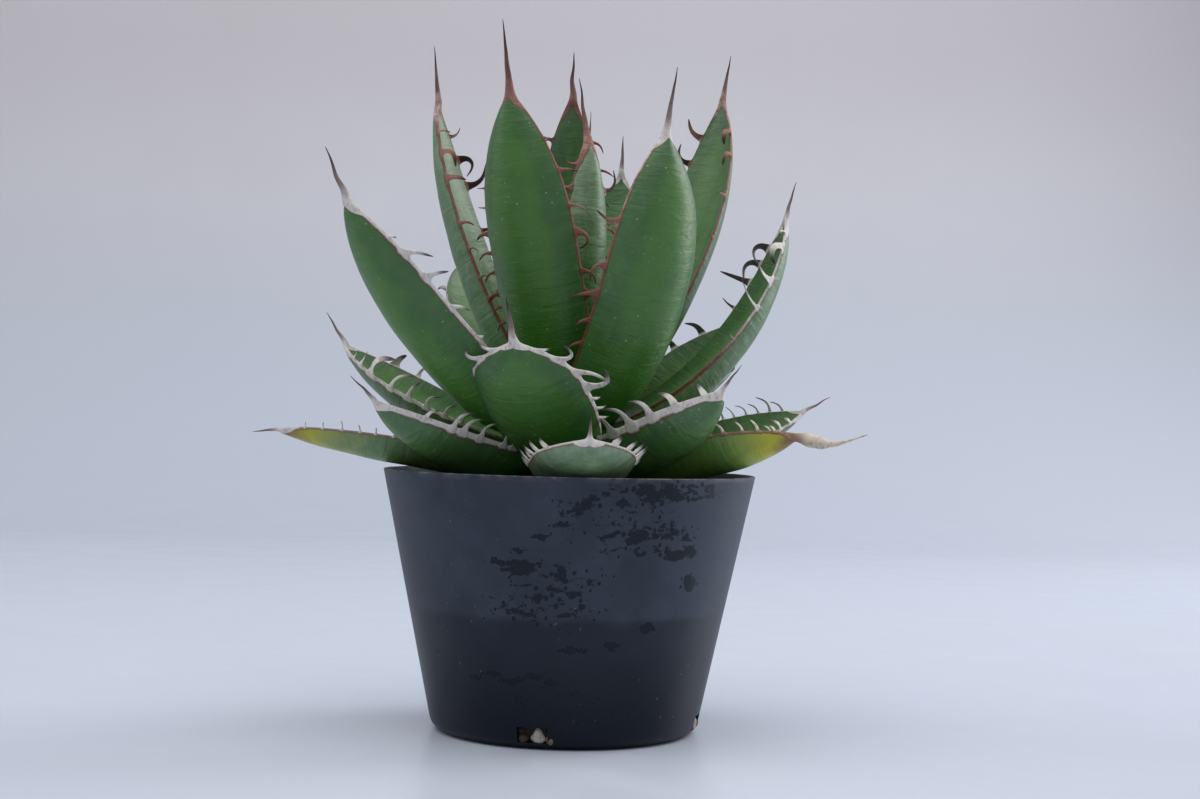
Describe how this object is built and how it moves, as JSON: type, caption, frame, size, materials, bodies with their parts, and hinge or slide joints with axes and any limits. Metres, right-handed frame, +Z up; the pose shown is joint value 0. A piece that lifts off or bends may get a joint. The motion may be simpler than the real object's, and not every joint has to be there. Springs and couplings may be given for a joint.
{
  "type": "potted agave",
  "caption": "Small agave with thick toothed leaves and long terminal spines, growing in gritty soil in a round tapered plastic nursery pot.",
  "frame": {"origin": "centre of the underside of the pot's base, on the surface it stands on", "axes": "+Z up the pot's axis, -Y towards the front, +X to the right seen from the front"},
  "size_m": [0.1928, 0.1413, 0.2278],
  "materials": {
    "pot_plastic": "matte, with dried water marks",
    "soil": "rough, gritty",
    "stem_bark": "rough",
    "leaf": "waxy, satin",
    "young_leaf": "waxy, satin"
  },
  "bodies": {
    "root": {"pot": "pot_plastic", "soil": "soil", "stem": "stem_bark", "central_spear": "young_leaf", "leaf_01": "leaf", "leaf_02": "leaf", "leaf_03": "leaf", "leaf_04": "leaf", "leaf_05": "leaf", "leaf_06": "leaf", "leaf_07": "leaf", "leaf_08": "leaf", "leaf_09": "leaf", "leaf_10": "leaf", "leaf_11": "leaf", "leaf_12": "leaf", "leaf_13": "leaf", "leaf_14": "leaf", "leaf_15": "leaf", "leaf_16": "leaf", "leaf_17": "leaf", "leaf_18": "leaf", "leaf_19": "leaf", "leaf_20": "leaf", "leaf_21": "leaf", "leaf_22": "leaf", "leaf_23": "leaf", "leaf_24": "leaf", "leaf_25": "leaf"}
  },
  "joints": []
}
